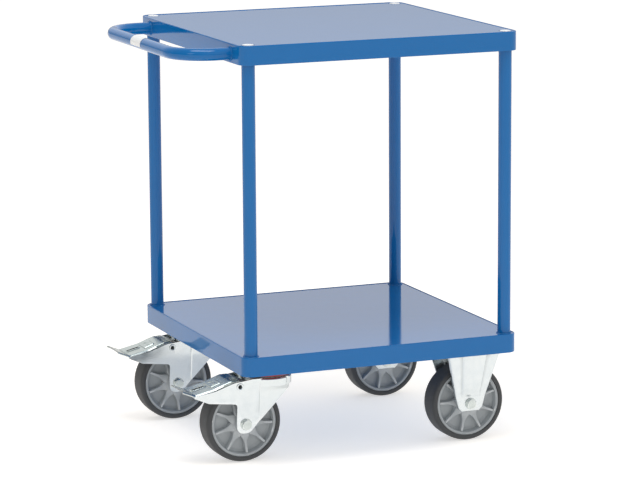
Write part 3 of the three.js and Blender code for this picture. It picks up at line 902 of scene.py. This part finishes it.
# %% Turned wheel parts
TYRE = rounded([
    (69.3, -25, 0.6), (74, -25, 1), (77.5, -23.8, 2.5), (79.5, -20, 4), (80, -12, 6), (80, 12, 6),
    (79.5, 20, 4), (77.5, 23.8, 2.5), (74, 25, 1), (69.3, 25, 0.6),
])
HUB_END = 30
WEB = 9
RIM_SIDE = [
    (12.3, -HUB_END, 0.4), (18, -HUB_END, 1.2), (19.5, -24, 1), (21.5, -WEB - 2.5, 2.5), (24, -WEB, 2),
    (56, -WEB, 3), (61, -WEB - 2.5, 3), (63.5, -22.2, 0.8), (66, -23.4, 0.8), (69, -22.8, 0.5),
]
RIM = rounded(RIM_SIDE + [(r, -y, soft) for r, y, soft in reversed(RIM_SIDE)], 4)
SLEEVE = 32.7
BEARING = rounded([
    (6.3, -SLEEVE, 0.3), (9.3, -SLEEVE, 0.4), (9.3, -HUB_END, 0), (12, -HUB_END, 0.4),
    (12, HUB_END, 0.4), (9.3, HUB_END, 0), (9.3, SLEEVE, 0.4), (6.3, SLEEVE, 0.3),
], 2)
print("tyre outline:", len(TYRE), "points, rim outline:", len(RIM), "points")


# %% Put the four wheels together
def join_into(target, *others):
    """Adds other objects' meshes to the target's and removes them."""
    bm = bmesh.new()
    bm.from_mesh(target.data)
    for other in others:
        bm.from_mesh(other.data)
        bpy.data.objects.remove(other)
    bm.to_mesh(target.data)
    bm.free()
    smooth_faces(target.data)
    target.data.set_sharp_from_angle(angle=radians(SHARP))


for end, side in CORNERS:
    wheel = f"{end}_{side}"
    centre = upright(f"{wheel}_tyre", WHEEL_R)
    piece(f"{wheel}_tyre_tread", [turned(TYRE, centre, "Y", 120)], RUBBER, f"{wheel}_tyre")
    spokes = grown(
        f"{wheel}_spokes", ONE_POINT, round_tree, Piece=spoke, Count=SPOKES,
        Start=(0, FIRST_SPOKE[end], 0), Turn=(0, 2 * pi / SPOKES, 0), Centre=centre * MM,
        Material=MOULDED,
    )
    rim = piece(f"{wheel}_spoked_rim", [turned(RIM, centre, "Y", 96)], MOULDED, f"{wheel}_wheel_rim")
    join_into(rim, spokes)
    bearing = [turned(BEARING, centre, "Y", 40)]
    piece(f"{wheel}_roller_bearing", bearing, STEEL, f"{wheel}_wheel_bearing")
bpy.data.objects.remove(spoke)
print("wheel with", len(rim.data.polygons), "faces in its rim")

# %% Axle bolts and nuts
ACROSS_FLATS = 19
AXLE_R = 6
THREAD_LONG = 16
FORK_FACE = 36
head = -FORK_FACE - 1
tip = FORK_FACE + 12.2
thread_start = tip - THREAD_LONG
washer = [(0, -1.7, 0), (11.8, -1.7, 0.5), (12, -0.3, 0.3), (0, -0.3, 0)]
washer = rounded([(r, y - FORK_FACE, soft) for r, y, soft in washer], 2)
shank = [(0, head), (AXLE_R, head), (AXLE_R, thread_start), (0, thread_start)]
collar = [(5.9, 7.5, 0), (8.2, 7.5, 0), (7.6, 10.3, 1.2), (5.9, 10.3, 0)]
collar = rounded([(r, y + FORK_FACE, soft) for r, y, soft in collar], 3)
for end, side in CORNERS:
    wheel = f"{end}_{side}"
    centre = upright(f"{wheel}_tyre", WHEEL_R)
    bolt = [
        along_y(hexagon(ACROSS_FLATS, -FORK_FACE - 1.5, -FORK_FACE - 7.8, -1), centre),
        turned(washer, centre, "Y", 48),
        turned(shank, centre, "Y", 24),
        turned(thread(AXLE_R, thread_start, tip), centre, "Y", 32),
    ]
    piece(f"{wheel}_axle_hexagon_bolt", bolt, BOLT, f"{wheel}_axle_bolt", sharp=28)
    nut = [
        along_y(hexagon(ACROSS_FLATS, FORK_FACE + GAP, FORK_FACE + 8, 1, hole=6.3), centre),
        turned(collar, centre, "Y", 32),
    ]
    piece(f"{wheel}_axle_lock_nut", nut, BOLT, f"{wheel}_axle_nut", sharp=28)
print("axle bolts", round(tip - head), "mm long under the head")

# %% [markdown]
# ## Castor plates
# Both kinds of castor hang from a pressed plate with rounded corners and four bolt holes.
# On the swivel castors a round housing is pressed down from the plate. It rides on balls
# over the crown of the fork, with a red ring that keeps dirt out.

# %% Swivel plates, dust rings, races and king pins
PLATE = (140, 110, 3.5)
HOLES = (105, 80, 5.5)


def plate_shape(centre, top, width):
    """Rounded plate with its four holes, its top face at the given height."""
    x, y = PLATE[0] / 2, width / 2
    edge = rounded([(-x, -y, 8), (x, -y, 8), (x, y, 8), (-x, y, 8)])
    half_long, half_wide, radius = HOLES[0] / 2, HOLES[1] / 2, HOLES[2]
    holes = [ring_points(radius, i * half_long, j * half_wide) for i in (-1, 1) for j in (-1, 1)]
    level = top - PLATE[2] / 2

    def place(a, b):
        return centre.x + a, centre.y + b, level

    return pressed([edge, *holes], place, PLATE[2], bevel=0.5)


def plate_bolts(name, centre, top):
    bolts = grown(
        name, ONE_POINT, bolt_tree, Piece=plate_bolt, Length=HOLES[0] * MM, Width=HOLES[1] * MM,
        Centre=Vector((centre.x, centre.y, top - PLATE[2])) * MM, Material=BOLT,
    )
    hand_over(bolts, [], "chassis")


BALLS = 26
BALL_CIRCLE = 42
PIN_HOLE = 8.3
HOUSING_R = 46
ball_outline = [(0, -1.3), (0.9, -0.9), (1.3, 0), (0.9, 0.9), (0, 1.3)]
ball = raw_object("ball_piece", *turned(ball_outline, (BALL_CIRCLE, 0, 0), steps=10))
shade(ball.data, 60)
for side in SIDES:
    castor = f"rear_{side}"
    low, high = span(f"{castor}_swivel_plate")
    pivot = upright(f"{castor}_king_pin")
    top, foot = high.z, low.z
    under = top - PLATE[2]
    housing = rounded([
        (PIN_HOLE, foot, 0), (42, foot, 1.5), (HOUSING_R, foot + 2.5, 1.5), (HOUSING_R, under, 0),
        (HOUSING_R, under + 1, 0), (PIN_HOLE, under + 1, 0),
    ], 4)
    piece(
        f"{castor}_pressed_plate", [plate_shape(pivot, top, PLATE[1]), turned(housing, pivot)],
        ZINC, f"{castor}_swivel_plate",
    )
    plate_bolts(f"{castor}_plate_bolts", pivot, top)
    low, high = span(f"{castor}_dust_ring")
    inside = HOUSING_R + GAP
    seal = rounded([
        (inside, low.z, 0.4), (51, low.z, 1.2), (53, low.z + 2.2, 1.0), (53, high.z - 3, 0.8),
        (51.5, high.z, 0.8), (inside, high.z, 0.4),
    ], 3)
    piece(f"{castor}_red_seal", [turned(seal, pivot, steps=72)], RED, f"{castor}_dust_ring")
    low, high = span(f"{castor}_ball_race")
    base, lid = low.z, low.z + 0.7
    track = rounded([(36, base, 0.2), (44, base, 0.2), (44, lid, 0.2), (36, lid, 0.2)], 2)
    cover = [(r, low.z + high.z - z) for r, z in track]
    tracks = [turned(track, pivot), turned(cover, pivot)]
    race = piece(f"{castor}_race_tracks", tracks, STEEL, f"{castor}_ball_race")
    centre = upright(f"{castor}_king_pin", (low.z + high.z) / 2)
    balls = grown(
        f"{castor}_balls", ONE_POINT, round_tree, Piece=ball, Count=BALLS,
        Start=(0, 0, 0), Turn=(0, 0, 2 * pi / BALLS), Centre=centre * MM, Material=STEEL,
    )
    join_into(race, balls)
    low, high = span(f"{castor}_king_pin")
    foot, neck = low.z, low.z + 4
    rivet = rounded([
        (0, foot, 0), (9, foot, 3), (13, foot + 3, 1.2), (13, neck, 0.2), (8, neck, 0),
        (8, high.z, 0.5), (0, high.z, 0),
    ], 4)
    piece(f"{castor}_king_rivet", [turned(rivet, pivot, steps=40)], STEEL, f"{castor}_king_pin")
bpy.data.objects.remove(ball)
print("swivel heads done,", BALLS, "balls each")

# %% [markdown]
# ## The forks
# A fork is two pressed cheeks under a round crown with a skirt. A cheek is narrow at the
# axle, sweeps forward to the crown, and has a long arm that carries the pedal. Above the
# axle it leans outward to make room for the pedal, and beyond one upright crease it stands
# a little prouder. The flat blank is cut where it bends, so the bends come out round.

# %% Fork cheeks and crown
TRAIL = 58.5
PEDAL_PIVOT = (-72.5, 159.5)
CHEEK = rounded([
    (-78, 62, 17), (-78, 124, 7), (-139.5, 131, 18), (-163.5, 141.5, 8), (-170, 144.6, 1.2),
    (-168.5, 147.8, 1.2), (-125.5, 154.6, 40), (-98.5, 163.4, 40), (-82.5, 168.6, 25),
    (-71.5, 169.3, 10), (-46.5, 172.8, 14), (32.5, 172.8, 2), (32.5, 152, 8), (-51, 62, 17.5),
], 7)
CHEEK_HOLES = [ring_points(5.7, *PEDAL_PIVOT), ring_points(6.2, -TRAIL, WHEEL_R)]
FORK_WALL = 3
LEAN = (84, 148)
LEAN_OUT = 5
CREASE = (-30.6, -28.2)
CREASE_OUT = 1.8
CREASE_STARTS, CREASE_ENDS = (78, 100), (148, 164)
CHEEK_CUTS = [("b", z) for z in range(LEAN[0], LEAN[1] + 1, 8)]
CHEEK_CUTS += [("a", x) for x in (-32.2, CREASE[0], -29.4, CREASE[1], -26.6)]
CHEEK_CUTS += [("b", CREASE_STARTS[0]), ("b", CREASE_ENDS[1])]


def cheek(side, pivot):
    def place(a, b):
        crease = smooth(a, *CREASE) * smooth(b, *CREASE_STARTS) * (1 - smooth(b, *CREASE_ENDS))
        out = FORK_FACE - FORK_WALL / 2 + LEAN_OUT * smooth(b, *LEAN) + CREASE_OUT * crease
        return pivot + Vector((a, side * out, b))

    return pressed([CHEEK, *CHEEK_HOLES], place, FORK_WALL, CHEEK_CUTS, 0.5)


CROWN = rounded([
    (PIN_HOLE, 168.3, 0), (45, 168.3, 3), (47, 156, 0.5), (50, 156, 0.6), (50, 170.5, 1.5),
    (47.5, 173.3, 2), (34, 173.3, 1), (30, 172.4, 1), (PIN_HOLE, 172.4, 0),
], 6)
for side in SIDES:
    castor = f"rear_{side}"
    pivot = upright(f"{castor}_king_pin")
    shapes = [cheek(-1, pivot), cheek(1, pivot), turned(CROWN, pivot, steps=80)]
    fork = piece(f"{castor}_pressed_fork", shapes, ZINC, f"{castor}_fork", sharp=20)
    print(fork.name, len(fork.data.polygons), "faces")

# %% [markdown]
# ## The brake pedals
# The pedal is folded from one sheet: it arches over the wheel, falls as a ramp towards the
# toe and ends in an upturned lip. It has a raised pad with two rivet heads and a long slot
# with a raised collar. A black sheet under the slot is painted shade: it makes the slot read
# dark. The pedal's side view is one line with round bends. Points are spread along that
# line and across the pedal, and are lifted at the pad and the collar, and the slot's faces
# are left out.

# %% Pedal sheet
PEDAL_LINE = [
    (-58.5, 166.7), (-73.5, 171.2), (-88.5, 170.7), (-106.5, 164.7), (-124.5, 158.2), (-166.5, 148.7),
    (-192.5, 159.3),
]
PEDAL_BENDS = (0, 12, 14, 30, 30, 2.5, 0)
PEDAL_HALF = 36.6
PEDAL_WALL = 2.2


def pedal_path(step=1.6):
    """Even stations along the pedal's side view, as (distance, point, upward normal)."""
    corners = [(*p, r) for p, r in zip(PEDAL_LINE, PEDAL_BENDS)]
    line = [Vector(p) for p in rounded(corners, 6)]
    stations, travelled, target = [], 0.0, 0.0
    for a, b in zip(line, line[1:]):
        length = (b - a).length
        while target <= travelled + length + 1e-6 and length > 0:
            along = (b - a) / length
            stations.append((target, a + along * (target - travelled), Vector((along.y, -along.x))))
            target += step
        travelled += length
    return stations


PAD_START, PAD_END, PAD_HALF, PAD_RISE = 48, 72, 17, 1.5
HEAD_AT, HEAD_SIDE, HEAD_RISE, HEAD_R = 60, 10, 1.2, 2.6
SLOT_MIDDLE, SLOT_LONG, SLOT_HALF, COLLAR_RISE = 92, 13, 4, 1.5
SIDE_DROP = 3.0


def lift(distance, across):
    """Height of the pad, its two rivet heads, the slot's collar and the rolled sides."""
    pad = smooth(distance, PAD_START, PAD_START + 2) * (1 - smooth(distance, PAD_END - 2, PAD_END))
    pad *= 1 - smooth(abs(across), PAD_HALF, PAD_HALF + 1.5)
    height = PAD_RISE * pad
    for y in (-HEAD_SIDE, HEAD_SIDE):
        height += HEAD_RISE * exp(-((hypot(distance - HEAD_AT, across - y) / HEAD_R) ** 2))
    past_end = max(abs(distance - SLOT_MIDDLE) - SLOT_LONG, 0)
    past_side = max(abs(across) - SLOT_HALF, 0)
    height += COLLAR_RISE * (1 - smooth(hypot(past_end, past_side), 1.0, 3.2))
    return height - SIDE_DROP * smooth(abs(across), PEDAL_HALF - 4, PEDAL_HALF + 1)


stations = pedal_path()
ROWS = [-36.6, -35.6, -34.5, -33.4, -29, -25, -22, -19.5, -18.2]
ROWS += [-17, -14, -12, -10, -8.6, -7.4, -6.2, -5, -4]
ROWS += [0.0] + [-y for y in reversed(ROWS)]
print("pedal line", round(stations[-1][0]), "mm long,", len(stations), "stations")


# %% Build the pedals
def pedal_sheet(pivot):
    points = []
    for distance, at, normal in stations:
        for y in ROWS:
            spot = at + normal * lift(distance, y)
            points.append(pivot + Vector((spot.x, y, spot.y)))
    n = len(ROWS)
    faces = []
    for face in grid_faces(len(stations), n):
        i, j = divmod(face[0], n)
        along = (stations[i][0] + stations[i + 1][0]) / 2
        across = (ROWS[j] + ROWS[j + 1]) / 2
        if abs(along - SLOT_MIDDLE) >= SLOT_LONG or abs(across) >= SLOT_HALF:
            faces.append(face)
    return thick(points, faces, PEDAL_WALL, 0)


SHADE_SHEET_ROWS = (-8, -4, 0, 4, 8)
SHADE_SHEET_DOWN = 4
SHADE_SHEET_WALL = 2


def slot_shade_sheet(pivot):
    """A black sheet under the slot, as painted shade that makes the slot read dark."""
    reach = SLOT_LONG + 3
    under = [at - normal * SHADE_SHEET_DOWN for d, at, normal in stations if abs(d - SLOT_MIDDLE) < reach]
    points = [pivot + Vector((spot.x, y, spot.y)) for spot in under for y in SHADE_SHEET_ROWS]
    return thick(points, grid_faces(len(under), len(SHADE_SHEET_ROWS)), SHADE_SHEET_WALL, 0.4)


EAR = rounded([
    (-60.5, 167, 1), (-63.5, 152.5, 6), (-82.5, 150.5, 8), (-102.5, 161, 6), (-108.5, 164, 1),
    (-88.5, 170.7, 6), (-73.5, 171.1, 6),
])
EAR_OUT = 36.3


def pedal_ear(side, pivot):
    def place(a, b):
        return pivot + Vector((a, side * EAR_OUT, b))

    return pressed([EAR, ring_points(5.8, *PEDAL_PIVOT)], place, 2, bevel=0.3)


RIVET = rounded([
    (3.8, 34, 0), (5.5, 34, 0), (5.5, 41.3, 0), (7.6, 41.3, 0.3), (7.2, 42.7, 0.6), (4.9, 42.7, 0.6),
    (3.8, 41.6, 0.3),
], 3)
for side in SIDES:
    castor = f"rear_{side}"
    pivot = upright(f"{castor}_king_pin")
    shapes = [pedal_sheet(pivot), pedal_ear(-1, pivot), pedal_ear(1, pivot)]
    pedal = piece(f"{castor}_folded_pedal", shapes, STEEL, f"{castor}_brake_pedal", sharp=30)
    # Painted shade: a black sheet under the slot makes it read dark.
    piece(f"{castor}_release_slide", [slot_shade_sheet(pivot)], SLOT_SHADE_BLACK, body=f"{castor}_brake")
    shoe = f"{castor}_brake_shoe"
    piece(f"{castor}_brake_block", [softened(shoe, 0.7)], STEEL, shoe)
    centre = pivot + Vector((PEDAL_PIVOT[0], 0, PEDAL_PIVOT[1]))
    for face, sign in (("outer", -1), ("inner", 1)):
        outline = [(r, sign * y) for r, y in RIVET]
        rivet = f"{castor}_{face}_pedal_rivet"
        piece(f"{rivet}_hollow", [turned(outline, centre, "Y", 32)], ZINC, rivet)
    print(pedal.name, len(pedal.data.polygons), "faces")

# %% [markdown]
# ## The fixed brackets
# A fixed castor's bracket is bent down from its plate on both sides. Each leg slopes in
# towards the axle, is narrower at its foot, has a raised channel down its middle and has
# its two edges turned in as flanges. A grid of points follows those rules: its width comes
# from the height, and its distance from the wheel from the slope plus the channel.

# %% Bracket legs
LEG_LOW, LEG_WIDE, LEG_BEND, LEG_HIGH = 65, 72, 96, 194.2
FOOT_HALF, NARROW_HALF, TOP_HALF = 19, 26, 58
LEG_WALL = 3
LEG_SLOPE = 22
TOP_BEND = 3.5
FLANGE = 6
CHANNEL_OUT = 3.0
CHANNEL_STARTS = (92, 116)
LEVELS = [LEG_LOW, 66.5, 68.5, 71, 74, 78, 84, 89, 92, 94, 96, 98, 100, 103]
LEVELS += [106 + 82 * k / 16 for k in range(17)] + [190, 192, LEG_HIGH]


def half_width(z):
    if z < LEG_WIDE:
        return FOOT_HALF + (NARROW_HALF - FOOT_HALF) * (z - LEG_LOW) / (LEG_WIDE - LEG_LOW)
    return NARROW_HALF + (TOP_HALF - NARROW_HALF) * (z - LEG_WIDE) / (LEG_HIGH - LEG_WIDE)


def leg(side, centre):
    """Points run across each level: flange, face, channel side, channel and back again."""
    points = []
    for z in LEVELS:
        fall = max(z - LEG_BEND, 0) / (LEG_HIGH - LEG_BEND)
        out = FORK_FACE - LEG_WALL / 2 + LEG_SLOPE * fall + TOP_BEND * smooth(z, 188, LEG_HIGH)
        edge, rise = half_width(z), CHANNEL_OUT * smooth(z, *CHANNEL_STARTS)
        channel = min(18 + 8 * fall, edge - 5)
        half = [
            (edge, -FLANGE), (edge, -2), (edge - 0.6, -0.6), (edge - 2, 0), ((edge + channel) / 2, 0),
            (channel + 1, 0), (channel - 1, rise), (channel / 2, rise),
        ]
        row = half + [(0, rise)] + [(-x, lifted) for x, lifted in reversed(half)]
        points += [centre + Vector((x, side * (out + lifted), z)) for x, lifted in row]
    return thick(points, grid_faces(len(LEVELS), len(row)), LEG_WALL, 0.4)


BRACKET_PLATE = 122
for side in SIDES:
    castor = f"front_{side}"
    centre = upright(f"{castor}_tyre")
    top = span(f"{castor}_fixed_bracket")[1].z
    shapes = [plate_shape(centre, top, BRACKET_PLATE), leg(-1, centre), leg(1, centre)]
    bracket = piece(f"{castor}_pressed_bracket", shapes, ZINC, f"{castor}_fixed_bracket", sharp=20)
    plate_bolts(f"{castor}_plate_bolts", centre, top)
    print(bracket.name, len(bracket.data.polygons), "faces")
bpy.data.objects.remove(plate_bolt)

# %% [markdown]
# ## Floor, light and camera
# The trolley stands on a plain white floor in a bright white room. The decks mirror the
# bright far side. The room is a little darker on the viewer's side and overhead, and
# darker still along the horizon and past the handle, so that faces turned there keep
# their colour. A long lens looks slightly down on it.

# %% Floor
FLOOR = [(-40000, -20000, 0), (40000, -20000, 0), (40000, 60000, 0), (-40000, 60000, 0)]
floor = raw_object("studio_floor", FLOOR, [(0, 1, 2, 3)])
paper = bpy.data.materials.new("floor_paper")
paper.use_nodes = True
matt_white = paper.node_tree.nodes["Principled BSDF"].inputs
matt_white["Base Color"].default_value = (0.80, 0.755, 0.70, 1)
matt_white["Roughness"].default_value = 0.9
matt_white["Specular IOR Level"].default_value = 0.0
matt_white["Emission Color"].default_value = (1, 1, 1, 1)
matt_white["Emission Strength"].default_value = 0.54
floor.data.materials.append(paper)
print("floor", [round(d) for d in floor.dimensions], "m")

# %% Room light
VIEWER_SIDE = (-0.38, -0.92, 0.0)
HORIZON = ("Z", 0.08, 0.23, 0.5, 1.06)
CEILING = ("Z", 0.5, 0.95, 1.0, 0.5)
HANDLE_SIDE = ("X", -0.95, -0.1, 0.3, 1.0)
world = bpy.data.worlds.new("white_room")
bpy.context.scene.world = world
world.use_nodes = True
tree = world.node_tree
tree.nodes.clear()
direction = add(tree, "ShaderNodeTexCoord").outputs["Generated"]
facing = add(tree, "ShaderNodeVectorMath", {0: direction, 1: VIEWER_SIDE}, operation="DOT_PRODUCT")
toward_viewer = facing.outputs["Value"]
level = add(tree, "ShaderNodeMapRange", {0: toward_viewer, 1: -0.2, 2: 0.9, 3: 1.05, 4: 0.8})
level = level.outputs[0]
along = add(tree, "ShaderNodeSeparateXYZ", {0: direction}).outputs
for axis, start, end, first, last in (HORIZON, CEILING, HANDLE_SIDE):
    part = add(tree, "ShaderNodeMapRange", {0: along[axis], 1: start, 2: end, 3: first, 4: last})
    level = shade_math(tree, "MULTIPLY", level, part.outputs[0])
sky = add(tree, "ShaderNodeBackground", {"Color": (1, 1, 1, 1), "Strength": level})
add(tree, "ShaderNodeOutputWorld", {"Surface": sky.outputs[0]})


def soft_box(name, at, toward, size, power):
    light = bpy.data.lights.new(name, "AREA")
    light.shape = "RECTANGLE"
    light.size, light.size_y = size
    light.energy = power
    obj = new_object(name, light)
    obj.location = at
    obj.rotation_euler = (Vector(toward) - Vector(at)).to_track_quat("-Z", "Y").to_euler()


soft_box("overhead_box", (-0.6, -0.8, 3.6), (0, 0, 0.4), (2.0, 1.4), 48)
soft_box("left_box", (-3.2, -2.2, 2.2), (0, 0, 0.5), (1.0, 1.4), 7)
bpy.context.scene.view_settings.view_transform = "Standard"
print("lights:", len(bpy.data.lights))

# %% Camera
CAMERA_AT = (-2.45389, -6.094716, 1.617)
CAMERA_TURN, CAMERA_DIP, CAMERA_ROLL = 22.279, 10.491, -0.334
camera_data = bpy.data.cameras.new("long_lens")
camera_data.lens = 180.55
camera_data.sensor_width = 36
camera_data.clip_end = 200
camera = new_object("long_lens", camera_data)
aim = Euler((radians(90 - CAMERA_DIP), 0, radians(-CAMERA_TURN))).to_matrix()
camera.rotation_euler = (aim @ Matrix.Rotation(radians(CAMERA_ROLL), 3, "Z")).to_euler()
camera.location = CAMERA_AT
bpy.context.scene.camera = camera
print("camera height", CAMERA_AT[2], "m")
